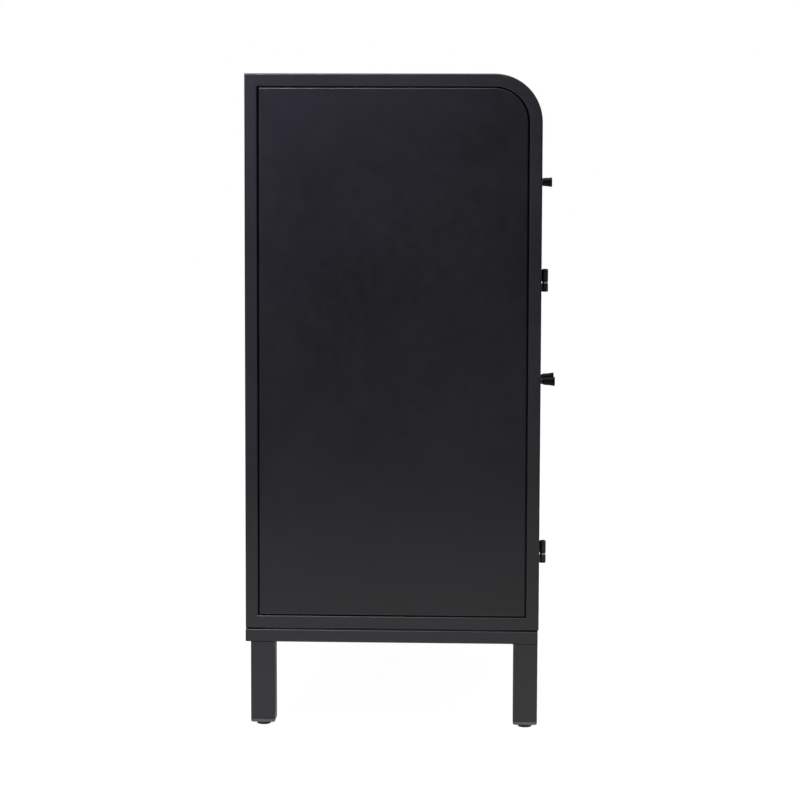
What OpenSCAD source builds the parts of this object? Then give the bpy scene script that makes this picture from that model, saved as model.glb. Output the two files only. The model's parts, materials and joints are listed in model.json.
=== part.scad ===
// Black steel cabinet: two drawers over a pair of doors, on a base frame with four legs.
// X runs across the width, the front faces -Y and Z is up. The origin is on the floor,
// under the middle of the cabinet's whole outline, knobs included.

/* [Overall size] */
// Width over the two side frames
overall_w = 813; // [760:1:900]
// Height from the floor to the top
overall_h = 1016; // [980:1:1100]
// Depth of the body, without its knobs
body_d = 458; // [430:1:500]

/* [Frame tube] */
// Size of the square tube that frames the body
tube = 20; // [18:1:22]
// Wall thickness of every tube
tube_wall = 1.2; // [1:0.1:1.5]
// Radius of a tube's rolled edges
tube_edge = 2.2; // [1.8:0.1:3]
// Outside radius of the bend at the front top corner
bend_r = 74; // [60:1:90]

/* [Panels] */
// Thickness of the sheet steel
sheet = 0.9; // [0.7:0.1:1.2]
// Shadow gap round each fixed panel
panel_gap = 1.6; // [1.2:0.1:2.4]
// Depth of the folded edge of a side panel
side_fold = 14; // [10:1:16]
// Depth of the folded edge of the back panel
back_fold = 8; // [6:1:10]
// How far the back panel sits inside the frame
back_inset = 3; // [2:0.5:4]
// Width of the ledges that the panels rest on
ledge_w = 15; // [12:1:18]

/* [Base] */
// Size of the square legs
leg = 38; // [32:1:42]
// Height of the round feet
foot_h = 5.5; // [4:0.5:10]
// Diameter of the round feet
foot_d = 22; // [18:1:26]
// Height of the visible rim of a leg's end cap
cap_rim = 5; // [3:0.5:7]
// Height from the floor to the underside of the base frame
base_z = 133.5; // [110:0.5:160]
// Gap between the base frame and the body
base_gap = 1.8; // [1:0.1:3]
// How far the rear legs stand in from the back of the base frame
rear_leg_inset = 8; // [0:1:20]
// How far the base frame's front stands behind the body's front
base_setback = 1.4; // [0:0.1:4]

/* [Drawers] */
// Height of a drawer front
drawer_h = 90; // [80:1:100]
// Height of the drawer knobs above the floor
drawer_z = 851; // [840:1:860]
// Height of a drawer tray's walls
tray_h = 66; // [50:1:70]
// Depth of a drawer tray, front to back
tray_d = 396; // [350:1:400]
// Gap round each drawer front and beside the doors
front_gap = 2; // [1.5:0.1:3]

/* [Doors] */
// Gap where the two doors meet
meeting_gap = 3; // [2.5:0.1:4]
// Height of the door knobs above the floor
door_knob_z = 515; // [400:1:650]
// Distance of a door knob from the middle of the cabinet
door_knob_x = 46; // [30:1:60]

/* [Hinges] */
// Height of the lower hinges above the floor
lower_hinge_z = 277; // [220:1:340]
// Height of the upper hinges above the floor
upper_hinge_z = 700; // [620:1:740]
// Radius of the hinge knuckles
knuckle_r = 5; // [4:0.1:6]
// Radius of the hinge pins
hinge_pin_r = 3; // [2.5:0.1:3.5]
// Length of the knuckle welded to the frame
fixed_knuckle_h = 13; // [10:0.5:15]
// Length of the knuckle welded to the door
door_knuckle_h = 20; // [15:0.5:25]

/* [Knobs] */
// Length of the flared knob
knob_len = 19.5; // [15:0.5:25]
// Diameter of the knob at its foot
knob_neck_d = 11.4; // [9:0.1:13]
// Diameter of the knob at its face
knob_face_d = 15.6; // [13:0.1:18]
// Length of the spacer behind each door knob
knob_spacer_len = 11; // [6:0.5:14]

/* [Shelf] */
// Height of the shelf's top above the floor
shelf_z = 470; // [320:50:620]

/* [Hidden] */
$fn = 48;
e = 1;           // how far a cut runs past the face that it opens
left = -1;
right = 1;
front = -1;
rear = 1;

frame_black = [0.15, 0.15, 0.16];
panel_black = [0.12, 0.12, 0.14];
knob_black = [0.06, 0.06, 0.06];
steel = [0.62, 0.62, 0.64];
zinc = [0.5, 0.51, 0.52];
plastic_black = [0.09, 0.09, 0.09];
plastic_grey = [0.3, 0.3, 0.31];

// Places, front to back
reach = knob_len + knob_spacer_len;
y_front = -(body_d + reach) / 2 + reach;
y_rear = y_front + body_d;
y_inside = y_front + tube;
y_bend = y_front + bend_r;

// Places, from the floor up
z_body = base_z + tube + base_gap;
z_floor = z_body + tube;
z_top = overall_h;
z_bend = z_top - bend_r;
z_mid_rail = drawer_z - drawer_h / 2 - front_gap - tube;
z_deck = z_mid_rail + tube;
z_top_rail = drawer_z + drawer_h / 2 + front_gap;
z_door = z_floor + front_gap;
door_h = z_mid_rail - front_gap - z_door;

// Rear ends of the deck and the partition, and the partition's top
rear_play = 2;
y_deck_rear = y_rear - tube - rear_play;
z_partition = z_top_rail - 8;

// Places, across
x_out = overall_w / 2;
x_in = x_out - tube;
x_rail = x_out - tube / 2;

// Shelf standards stand between the side ledges and the inside faces of the posts
ledge_t = 1.5;
x_ledge = x_out - side_fold - ledge_t;
standard_w = 14;
standard_d = x_ledge - x_in;

// Folded edge of the floor and the deck
floor_fold = tube - 3;

// Shelf
shelf_fold = 20;
shelf_side_play = 3.5;
shelf_front = y_inside + 26;
shelf_rear = y_rear - tube + 4;
pin_r = 2.5;
pin_zs = [300:50:650];

// Doors
door_w = (2 * x_in - 2 * front_gap - meeting_gap) / 2;
door_x = meeting_gap / 2 + door_w / 2;
liner_t = 0.8;
liner_fold = 11;
strike_t = 1.2;

// Hinges stand just proud of the front, over the gap beside the door
hinge_x = x_in - front_gap / 2;
hinge_y = y_front - knuckle_r - 0.4;
washer_t = 2.2;
hinge_play = 0.3;
pin_play = 0.05;
knuckle_chamfer = 0.8;
pin_reach = 14;
pin_foot = 2;
weld_tab = 8;
hinge_zs = [lower_hinge_z, upper_hinge_z];

// Drawers
bay_w = x_in - tube / 2;
drawer_x = tube / 2 + bay_w / 2;
drawer_w = bay_w - 2 * front_gap;
slide_space = 13.5;
tray_w = bay_w - 2 * slide_space;
tray_z = drawer_z - drawer_h / 2 + 6;
runner_h = 24;
runner_d = 10;
runner_t = 1.5;
runner_z = tray_z + 14;
slide_play = 0.6;
runner_start = y_inside + 4;
runner_len = body_d - 2 * tube - 8;
slide_len = tray_d - 16;

// Screws
screw_r = 2;
screw_head_r = 4;
screw_head_h = 2.2;
bolt_r = 3;
bolt_head_h = 4;
bolt_head_r = 5.77;
bolt_reach = 6;
spacer_r = 8;
bolt_x = 300;
y_base_front = y_front + base_setback;
bolt_ys = [y_base_front + tube / 2, y_rear - tube / 2];
back_screw_x = x_in - ledge_w / 2;
back_screw_len = 14;
back_screw_end = 30;
back_screw_pitch = (z_top - z_floor - tube - 2 * back_screw_end) / 4;
back_screw_zs = [for (i = [0:4]) z_floor + back_screw_end + i * back_screw_pitch];
anti_tip_x = 300;
anti_tip_r = 2.5;

// ---- Outlines ----

module rounded_bar(w, d, r) {
    square([w - 2 * r, d], center = true);
    square([w, d - 2 * r], center = true);
    for (x = [-1, 1], y = [-1, 1])
        translate([x * (w / 2 - r), y * (d / 2 - r)])
            circle(r);
}

module tube_outline(size = tube, r = tube_edge) {
    difference() {
        rounded_bar(size, size, r);
        rounded_bar(size - 2 * tube_wall, size - 2 * tube_wall, r - tube_wall);
    }
}

// Side of the body seen along X, drawn in Y and Z, inset evenly, with its front top corner round
module side_outline(inset) {
    translate([y_front + inset, z_body + inset])
        square([body_d - 2 * inset, z_bend - z_body - inset]);
    translate([y_bend, z_body + inset])
        square([y_rear - inset - y_bend, z_top - z_body - 2 * inset]);
    translate([y_bend, z_bend])
        circle(bend_r - inset);
}

// Band that follows the top of the body and comes down round the front corner
module top_band(t) {
    translate([y_bend, z_top - t])
        square([y_rear - tube - panel_gap - y_bend, t]);
    translate([y_bend, z_bend])
        intersection() {
            difference() {
                circle(bend_r);
                circle(bend_r - t);
            }
            translate([-bend_r, 0])
                square([bend_r, bend_r]);
        }
    translate([y_front, z_top_rail + tube + panel_gap])
        square([t, z_bend - z_top_rail - tube - panel_gap]);
}

// ---- Placing helpers ----

// Takes an outline in Y and Z and extrudes it along X from x0 to x1
module along_x(x0, x1) {
    translate([x0, 0, 0])
        rotate([90, 0, 90])
            linear_extrude(x1 - x0)
                children();
}

// Takes an outline in X and Z and extrudes it along Y from y0 to y1
module along_y(y0, y1) {
    translate([0, y1, 0])
        rotate([90, 0, 0])
            linear_extrude(y1 - y0)
                children();
}

module box(x0, x1, y0, y1, z0, z1) {
    translate([min(x0, x1), min(y0, y1), min(z0, z1)])
        cube([abs(x1 - x0), abs(y1 - y0), abs(z1 - z0)]);
}

module tube_along_x(x0, x1, y, z) {
    translate([0, y, z])
        along_x(x0, x1)
            tube_outline();
}

module tube_along_y(y0, y1, x, z) {
    translate([x, 0, z])
        along_y(y0, y1)
            tube_outline();
}

module tube_along_z(z0, z1, x, y, size = tube, r = tube_edge) {
    translate([x, y, z0])
        linear_extrude(z1 - z0)
            tube_outline(size, r);
}

// Wedge beyond a mitre, from the corner (y, z) inwards. inward_y and inward_z point into the
// frame. spare_post is true to clear the post's half of the corner, and false to clear the rail's.
module mitre(y, z, inward_y, inward_z, spare_post) {
    far = tube + e;
    along_x(-tube, tube)
        polygon([
            [y - e * inward_y, z - e * inward_z],
            [y + far * inward_y, z + far * inward_z],
            spare_post ? [y - e * inward_y, z + far * inward_z] : [y + far * inward_y, z - e * inward_z]
        ]);
}

module screw_along_y(x, y_head, z, length, head_side) {
    translate([x, y_head, z])
        rotate([-90 * head_side, 0, 0]) {
            cylinder(h = screw_head_h, r = screw_head_r);
            translate([0, 0, -length])
                cylinder(h = length, r = screw_r);
        }
}

// ---- Body frame ----

module bent_rail(side) {
    color(frame_black)
        translate([side * x_rail, 0, 0])
            difference() {
                union() {
                    tube_along_z(z_body, z_bend, 0, y_front + tube / 2);
                    tube_along_y(y_bend, y_rear, 0, z_top - tube / 2);
                    translate([0, y_bend, z_bend])
                        rotate([90, 0, -90])
                            rotate_extrude(angle = 90)
                                translate([bend_r - tube / 2, 0])
                                    tube_outline();
                }
                mitre(y_rear, z_top, -1, -1, true);
                mitre(y_front, z_body, 1, 1, false);
            }
}

module rear_post(side) {
    color(frame_black)
        translate([side * x_rail, 0, 0])
            difference() {
                tube_along_z(z_body, z_top, 0, y_rear - tube / 2);
                mitre(y_rear, z_top, -1, -1, false);
                mitre(y_rear, z_body, -1, 1, false);
            }
}

module side_bottom_rails() {
    color(frame_black)
        for (side = [left, right])
            translate([side * x_rail, 0, 0])
                difference() {
                    tube_along_y(y_front, y_rear, 0, z_body + tube / 2);
                    mitre(y_front, z_body, 1, 1, true);
                    mitre(y_rear, z_body, -1, 1, true);
                }
}

module rear_rails() {
    color(frame_black) {
        difference() {
            tube_along_x(-x_in, x_in, y_rear - tube / 2, z_top - tube / 2);
            for (x = [-anti_tip_x, anti_tip_x])
                translate([x, y_rear + e, z_top - tube / 2])
                    rotate([90, 0, 0])
                        cylinder(h = tube / 2, r = anti_tip_r);
        }
        difference() {
            tube_along_x(-x_in, x_in, y_rear - tube / 2, z_body + tube / 2);
            body_bolt_holes();
        }
    }
}

module front_rails() {
    color(frame_black)
        difference() {
            for (z = [z_body, z_mid_rail, z_top_rail])
                tube_along_x(-x_in, x_in, y_front + tube / 2, z + tube / 2);
            body_bolt_holes();
        }
}

// Holes for the base bolts, through the lower walls of the body's front and rear bottom rails
module body_bolt_holes() {
    for (x = [-bolt_x, bolt_x], y = bolt_ys)
        translate([x, y, z_body - e])
            cylinder(h = tube / 2, r = bolt_r);
}

module drawer_divider() {
    color(frame_black)
        tube_along_z(z_deck, z_top_rail, 0, y_front + tube / 2);
}

// Folded box behind the divider, which carries the inner drawer runners
module drawer_partition() {
    color(panel_black)
        difference() {
            box(-tube / 2, tube / 2, y_inside, y_deck_rear, z_deck, z_partition);
            box(-tube / 2 + sheet, tube / 2 - sheet, y_inside - e, y_deck_rear + e,
                z_deck + sheet, z_partition - sheet);
        }
}

// ---- Panels ----

module side_panel(side) {
    inset = tube + panel_gap;
    color(panel_black)
        mirror([side == left ? 1 : 0, 0, 0])
            difference() {
                along_x(x_out - side_fold, x_out)
                    side_outline(inset);
                along_x(x_out - side_fold - e, x_out - sheet)
                    side_outline(inset + sheet);
            }
}

module top_panel() {
    half = x_in - panel_gap;
    color(frame_black) {
        along_x(-half, half)
            top_band(sheet);
        for (x0 = [-half, half - sheet])
            along_x(x0, x0 + sheet)
                top_band(side_fold);
    }
}

module back_panel() {
    half = x_in - panel_gap;
    y_face = y_rear - back_inset;
    z0 = z_floor + panel_gap;
    z1 = z_top - tube - panel_gap;
    color(panel_black)
        difference() {
            box(-half, half, y_face - back_fold, y_face, z0, z1);
            box(-half + sheet, half - sheet, y_face - back_fold - e, y_face - sheet, z0 + sheet, z1 - sheet);
            back_screw_holes();
        }
}

module back_screw_holes() {
    for (side = [left, right], z = back_screw_zs)
        translate([side * back_screw_x, y_rear + e, z])
            rotate([90, 0, 0])
                cylinder(h = 2 * tube, r = screw_r);
}

module panel_screws() {
    color(zinc)
        for (side = [left, right], z = back_screw_zs)
            screw_along_y(side * back_screw_x, y_rear - back_inset, z, back_screw_len, rear);
}

// Strips welded inside the frame. The side, back and top panels rest on them.
module panel_ledges() {
    y_back_ledge = y_rear - back_inset - back_fold - ledge_t;
    color(frame_black) {
        difference() {
            for (side = [left, right])
                box(side * (x_in - ledge_w), side * x_in, y_back_ledge, y_back_ledge + ledge_t,
                    z_floor + ledge_w, z_top - tube - ledge_w);
            back_screw_holes();
        }
        for (z = [z_floor, z_top - tube - ledge_w])
            box(-x_in, x_in, y_back_ledge, y_back_ledge + ledge_t, z, z + ledge_w);
        for (side = [left, right]) {
            for (y = [y_inside, y_rear - tube - ledge_w])
                box(side * x_ledge, side * (x_ledge + ledge_t), y, y + ledge_w, z_floor, z_bend);
            box(side * x_ledge, side * (x_ledge + ledge_t), y_inside + ledge_w,
                y_rear - tube - ledge_w, z_floor, z_floor + ledge_w);
            box(side * x_ledge, side * (x_ledge + ledge_t), y_bend,
                y_rear - tube - ledge_w, z_top - tube - ledge_w, z_top - tube);
            box(side * (x_in - ledge_w), side * x_in, y_bend, y_rear - tube,
                z_top - side_fold - ledge_t, z_top - side_fold);
        }
    }
}

// Sheet with its four edges folded down, used for the floor, the deck and the shelf
module folded_sheet(half, y0, y1, z_face, fold) {
    difference() {
        box(-half, half, y0, y1, z_face - fold, z_face);
        box(-half + sheet, half - sheet, y0 + sheet, y1 - sheet, z_face - fold - e, z_face - sheet);
    }
}

module floor_panel() {
    color(panel_black)
        folded_sheet(x_in, y_inside, y_rear - tube, z_floor, floor_fold);
}

module mid_deck() {
    color(panel_black)
        folded_sheet(x_in, y_inside, y_deck_rear, z_deck, floor_fold);
}

// Channel that stiffens the top, from one side ledge to the other
module top_brace() {
    brace_w = 50;
    z0 = z_top - side_fold;
    y0 = (y_bend + y_rear) / 2 - brace_w;
    x_end = x_in - panel_gap - sheet;
    color(panel_black)
        difference() {
            box(-x_end, x_end, y0, y0 + brace_w, z0, z_top - sheet);
            box(-x_end - e, x_end + e, y0 + sheet, y0 + brace_w - sheet, z0 + sheet, z_top - sheet + e);
        }
}

// ---- Shelf ----

module shelf() {
    color(panel_black)
        folded_sheet(x_in - shelf_side_play, shelf_front, shelf_rear, shelf_z, shelf_fold);
}

// Front edges of the four upright strips
standard_ys = [y_inside + 1, y_rear - tube - 1 - standard_w];

// Slotted uprights that carry the shelf pins, the deck and the outer drawer runners
module shelf_standards() {
    color(zinc)
        for (side = [left, right], y = standard_ys)
            difference() {
                box(side * x_in, side * (x_in + standard_d), y, y + standard_w, z_floor, z_partition);
                box(side * (x_in + sheet), side * (x_in + standard_d + e), y + sheet, y + standard_w - sheet,
                    z_floor - e, z_partition + e);
                for (z = pin_zs)
                    translate([side * x_in, y + standard_w / 2, z - pin_r])
                        rotate([0, 90, 0])
                            cylinder(h = 3 * sheet, r = pin_r, center = true);
            }
}

module shelf_pins() {
    z = shelf_z - shelf_fold - pin_r;
    collar_r = 4;
    collar_t = 1;
    color(steel)
        for (side = [left, right], y = standard_ys)
            translate([side * (x_in + 3), y + standard_w / 2, z])
                rotate([0, -90 * side, 0])
                    union() {
                        cylinder(h = 15, r = pin_r);
                        translate([0, 0, 3])
                            cylinder(h = collar_t, r = collar_r);
                    }
}

// ---- Drawer runners fixed to the body ----

module channel(x_web, x_tip, h, y0, y1, z) {
    inward = x_tip > x_web ? 1 : -1;
    difference() {
        box(x_web, x_tip, y0, y1, z - h / 2, z + h / 2);
        box(x_web + inward * runner_t, x_tip + inward * e, y0 - e, y1 + e,
            z - h / 2 + runner_t, z + h / 2 - runner_t);
    }
}

module drawer_outer_runners() {
    color(zinc)
        for (side = [left, right]) {
            channel(side * tube / 2, side * (tube / 2 + runner_d), runner_h,
                runner_start, runner_start + runner_len, runner_z);
            channel(side * x_in, side * (x_in - runner_d), runner_h,
                runner_start, runner_start + runner_len, runner_z);
        }
}

// ---- Base ----

rail_plate_t = 2;
drain_r = 3;

// Side rails, their ends closed with plates welded in flush, and a drain hole in the underside
module base_side_rails() {
    color(frame_black)
        for (side = [left, right])
            difference() {
                union() {
                    tube_along_y(y_base_front, y_rear, side * x_rail, base_z + tube / 2);
                    for (y = [y_base_front, y_rear - rail_plate_t])
                        translate([side * x_rail, 0, base_z + tube / 2])
                            along_y(y, y + rail_plate_t)
                                rounded_bar(tube, tube, tube_edge);
                }
                translate([side * x_rail, 0, base_z - e])
                    cylinder(h = tube / 2, r = drain_r);
            }
}

module base_cross_rails() {
    color(frame_black)
        for (y = bolt_ys)
            difference() {
                tube_along_x(-x_in, x_in, y, base_z + tube / 2);
                for (x = [-bolt_x, bolt_x])
                    translate([x, y, base_z - e])
                        cylinder(h = tube + 2 * e, r = bolt_r);
            }
}

leg_edge = 3;
leg_plate_t = 2;
plug_h = 14;
stem_r = 4;
stem_h = 18;

function leg_x(side) = side * (x_out - leg / 2);
function leg_y(end) = end == front ? y_base_front + leg / 2 : y_rear - rear_leg_inset - leg / 2;

module leg_tube(side, end) {
    z0 = foot_h + cap_rim;
    color(frame_black)
        union() {
            tube_along_z(z0, base_z - leg_plate_t, leg_x(side), leg_y(end), leg, leg_edge);
            translate([leg_x(side), leg_y(end), base_z - leg_plate_t])
                linear_extrude(leg_plate_t)
                    rounded_bar(leg, leg, leg_edge);
        }
}

module each_leg() {
    for (side = [left, right], end = [front, rear])
        translate([leg_x(side), leg_y(end), 0])
            children();
}

module leg_end_caps() {
    plug = leg - 2 * tube_wall - 0.2;
    color(plastic_grey)
        each_leg()
            difference() {
                union() {
                    translate([0, 0, foot_h])
                        linear_extrude(cap_rim)
                            rounded_bar(leg, leg, leg_edge);
                    translate([0, 0, foot_h + cap_rim])
                        linear_extrude(plug_h)
                            rounded_bar(plug, plug, leg_edge / 2);
                }
                translate([0, 0, foot_h - e])
                    cylinder(h = cap_rim + plug_h + 2 * e, r = stem_r);
            }
}

module levelling_feet() {
    pad_r = foot_d / 2;
    color(plastic_black)
        each_leg()
            rotate_extrude()
                polygon([
                    [0, 0], [pad_r - 1.2, 0], [pad_r, 1.2], [pad_r, foot_h - 1.5],
                    [pad_r - 1.5, foot_h], [stem_r, foot_h], [stem_r, foot_h + stem_h], [0, foot_h + stem_h]
                ]);
}

// Bolts that hold the body down on the base, each with the spacer that sets the gap
module base_fixings() {
    color(zinc)
        for (x = [-bolt_x, bolt_x], y = bolt_ys)
            translate([x, y, base_z]) {
                union() {
                    translate([0, 0, -bolt_head_h])
                        cylinder(h = bolt_head_h, r = bolt_head_r, $fn = 6);
                    cylinder(h = tube + base_gap + bolt_reach, r = bolt_r);
                }
                translate([0, 0, tube])
                    difference() {
                        cylinder(h = base_gap, r = spacer_r);
                        translate([0, 0, -e])
                            cylinder(h = base_gap + 2 * e, r = bolt_r);
                    }
            }
}

// ---- Hinges ----

module each_hinge() {
    for (z = hinge_zs)
        translate([hinge_x, hinge_y, z - (fixed_knuckle_h + washer_t + door_knuckle_h) / 2])
            children();
}

module fixed_knuckle() {
    c = knuckle_chamfer;
    union() {
        rotate_extrude()
            polygon([
                [0, 0], [knuckle_r - c, 0], [knuckle_r, c], [knuckle_r, fixed_knuckle_h - c],
                [knuckle_r - c, fixed_knuckle_h], [hinge_pin_r, fixed_knuckle_h], [hinge_pin_r, pin_foot], [0, pin_foot]
            ]);
        difference() {
            box(front_gap / 2 + 0.3, weld_tab, -hinge_y + y_front - 3, -hinge_y + y_front, 1.5, fixed_knuckle_h - 1.5);
            translate([0, 0, -e])
                cylinder(h = fixed_knuckle_h + 2 * e, r = hinge_pin_r + 1);
        }
    }
}

module fixed_hinge_knuckles() {
    color(frame_black)
        for (side = [left, right])
            mirror([side == left ? 1 : 0, 0, 0])
                each_hinge()
                    fixed_knuckle();
}

module hinge_pins() {
    color(steel)
        for (side = [left, right])
            mirror([side == left ? 1 : 0, 0, 0])
                each_hinge()
                    translate([0, 0, pin_foot])
                        cylinder(h = fixed_knuckle_h - pin_foot + washer_t + hinge_play + pin_reach, r = hinge_pin_r);
}

module hinge_washers() {
    color(zinc)
        for (side = [left, right])
            mirror([side == left ? 1 : 0, 0, 0])
                each_hinge()
                    translate([0, 0, fixed_knuckle_h])
                        difference() {
                            cylinder(h = washer_t, r = knuckle_r - 0.5);
                            translate([0, 0, -e])
                                cylinder(h = washer_t + 2 * e, r = hinge_pin_r);
                        }
}

module door_knuckle() {
    c = knuckle_chamfer;
    bore_r = hinge_pin_r + pin_play;
    bore_h = pin_reach + 1;
    union() {
        rotate_extrude()
            polygon([
                [0, bore_h], [bore_r, bore_h], [bore_r, 0], [knuckle_r - c, 0], [knuckle_r, c],
                [knuckle_r, door_knuckle_h - 1.5], [knuckle_r - 1.5, door_knuckle_h], [0, door_knuckle_h]
            ]);
        difference() {
            box(-weld_tab, -front_gap / 2 - 0.3, -hinge_y + y_front - 3, -hinge_y + y_front, 1.5, door_knuckle_h - 2);
            translate([0, 0, -e])
                cylinder(h = door_knuckle_h + 2 * e, r = bore_r + 1);
        }
    }
}

module door_knuckles(side) {
    color(frame_black)
        mirror([side == left ? 1 : 0, 0, 0])
            each_hinge()
                translate([0, 0, fixed_knuckle_h + washer_t + hinge_play])
                    door_knuckle();
}

// ---- Doors ----

catch_x = 34;
catch_w = 44;
catch_h = 19;
catch_d = 22;
catch_play = 1.8;
hanger_w = 30;
strike_w = 38;
strike_h = 14;
strike_inset = 5;

module door_skin(side) {
    z1 = z_door + door_h;
    x0 = side * door_x - door_w / 2;
    color(panel_black)
        difference() {
            box(x0, x0 + door_w, y_front, y_inside, z_door, z1);
            box(x0 + sheet, x0 + door_w - sheet, y_front + sheet, y_inside + e, z_door + sheet, z1 - sheet);
            knob_hole(side * door_knob_x, door_knob_z);
        }
}

module door_liner(side) {
    z0 = z_door + sheet;
    z1 = z_door + door_h - sheet;
    x0 = side * door_x - door_w / 2 + sheet;
    x1 = side * door_x + door_w / 2 - sheet;
    color(panel_black)
        difference() {
            box(x0, x1, y_inside - liner_fold, y_inside, z0, z1);
            box(x0 + liner_t, x1 - liner_t, y_inside - liner_fold - e, y_inside - liner_t, z0 + liner_t, z1 - liner_t);
            knob_hole(side * door_knob_x, door_knob_z);
        }
}

module knob_hole(x, z) {
    translate([x, y_inside + 2 * e, z])
        rotate([90, 0, 0])
            cylinder(h = tube + 4 * e, r = screw_r);
}

module door_strike(side) {
    z1 = z_door + door_h - strike_inset;
    color(zinc)
        box(side * (catch_x - strike_w / 2), side * (catch_x + strike_w / 2), y_inside, y_inside + strike_t,
            z1 - strike_h, z1);
}

// Magnetic catches behind the top of each door, hung from the deck's front fold
module door_catches() {
    y0 = y_inside + catch_play;
    z1 = z_mid_rail - 3;
    color(plastic_black)
        for (side = [left, right])
            union() {
                box(side * (catch_x - catch_w / 2), side * (catch_x + catch_w / 2), y0, y0 + catch_d,
                    z1 - catch_h, z1);
                box(side * (catch_x - hanger_w / 2), side * (catch_x + hanger_w / 2), y_inside + sheet, y0 + e,
                    z1 - e, z_mid_rail + 14);
            }
}

// ---- Knobs ----

// Flared knob standing out towards the front from y, with its screw hole at the back
module knob(x, y, z) {
    neck = knob_neck_d / 2;
    face = knob_face_d / 2;
    rim = 0.7;
    hole = 11;
    color(knob_black)
        translate([x, y, z])
            rotate([90, 0, 0])
                rotate_extrude()
                    polygon([
                        [screw_r, 0], [neck - rim, 0], [neck, rim], [neck + 0.3, knob_len * 0.3],
                        [face, knob_len - rim], [face - rim, knob_len], [0, knob_len], [0, hole], [screw_r, hole]
                    ]);
}

module door_knob(side) {
    knob(side * door_knob_x, y_front - knob_spacer_len, door_knob_z);
}

module door_knob_spacer(side) {
    color(frame_black)
        translate([side * door_knob_x, y_front, door_knob_z])
            rotate([90, 0, 0])
                difference() {
                    cylinder(h = knob_spacer_len, r = knob_neck_d / 2 - 0.6);
                    translate([0, 0, -e])
                        cylinder(h = knob_spacer_len + 2 * e, r = screw_r);
                }
}

module door_knob_screw(side) {
    color(zinc)
        screw_along_y(side * door_knob_x, y_inside, door_knob_z, tube + knob_spacer_len + 10, rear);
}

module drawer_knob(side) {
    knob(side * drawer_x, y_front, drawer_z);
}

module drawer_knob_screw(side) {
    color(zinc)
        screw_along_y(side * drawer_x, y_inside + sheet, drawer_z, tube + sheet + 10, rear);
}

// ---- Drawers ----

module drawer_front(side) {
    lip = 19;
    x0 = side * drawer_x - drawer_w / 2;
    x1 = x0 + drawer_w;
    z0 = drawer_z - drawer_h / 2;
    z1 = z0 + drawer_h;
    color(panel_black)
        difference() {
            box(x0, x1, y_front, y_inside, z0, z1);
            box(x0 + sheet, x1 - sheet, y_front + sheet, y_inside - sheet, z0 + sheet, z1 - sheet);
            box(x0 + lip, x1 - lip, y_inside - 2 * sheet, y_inside + e, z0 + lip, z1 - lip);
            knob_hole(side * drawer_x, drawer_z);
        }
}

// Open tray with a folded hem round its rim
module drawer_tray(side) {
    x0 = side * drawer_x - tray_w / 2;
    x1 = x0 + tray_w;
    y1 = y_inside + tray_d;
    hem_t = 2 * sheet;
    hem_h = 6;
    color(panel_black)
        difference() {
            box(x0, x1, y_inside, y1, tray_z, tray_z + tray_h);
            box(x0 + sheet, x1 - sheet, y_inside + sheet, y1 - sheet, tray_z + sheet, tray_z + tray_h - hem_h);
            box(x0 + hem_t, x1 - hem_t, y_inside + hem_t, y1 - hem_t, tray_z + sheet, tray_z + tray_h + e);
            knob_hole(side * drawer_x, drawer_z);
        }
}

module drawer_slides(side) {
    h = runner_h - 2 * runner_t - 2 * slide_play;
    y0 = y_inside + 6;
    reach_in = slide_space - runner_t - 1.1;
    color(zinc)
        for (edge = [-1, 1]) {
            x_web = side * drawer_x + edge * tray_w / 2;
            channel(x_web, x_web + edge * reach_in, h, y0, y0 + slide_len, runner_z);
        }
}

bent_rail(left);  // left_bent_rail
bent_rail(right);  // right_bent_rail
rear_post(left);  // left_rear_post
rear_post(right);  // right_rear_post
side_bottom_rails();
rear_rails();
front_rails();
drawer_divider();
drawer_partition();
side_panel(left);  // left_side_panel
side_panel(right);  // right_side_panel
top_panel();
back_panel();
floor_panel();
mid_deck();
top_brace();
panel_ledges();
panel_screws();
shelf();
shelf_standards();
shelf_pins();
drawer_outer_runners();
base_side_rails();
base_cross_rails();
leg_tube(left, front);  // leg_front_left
leg_tube(right, front);  // leg_front_right
leg_tube(left, rear);  // leg_rear_left
leg_tube(right, rear);  // leg_rear_right
leg_end_caps();
levelling_feet();
base_fixings();
fixed_hinge_knuckles();
hinge_pins();
hinge_washers();
door_catches();
door_skin(left);  // left_door_skin
door_liner(left);  // left_door_liner
door_knuckles(left);  // left_door_knuckles
door_strike(left);  // left_door_strike
door_knob(left);  // left_door_knob
door_knob_spacer(left);  // left_door_knob_spacer
door_knob_screw(left);  // left_door_knob_screw
door_skin(right);  // right_door_skin
door_liner(right);  // right_door_liner
door_knuckles(right);  // right_door_knuckles
door_strike(right);  // right_door_strike
door_knob(right);  // right_door_knob
door_knob_spacer(right);  // right_door_knob_spacer
door_knob_screw(right);  // right_door_knob_screw
drawer_front(left);  // left_drawer_front
drawer_tray(left);  // left_drawer_tray
drawer_slides(left);  // left_drawer_slides
drawer_knob(left);  // left_drawer_knob
drawer_knob_screw(left);  // left_drawer_knob_screw
drawer_front(right);  // right_drawer_front
drawer_tray(right);  // right_drawer_tray
drawer_slides(right);  // right_drawer_slides
drawer_knob(right);  // right_drawer_knob
drawer_knob_screw(right);  // right_drawer_knob_screw
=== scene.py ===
import json
import math

import bmesh
import bpy
from mathutils import Matrix, Quaternion, Vector


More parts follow.
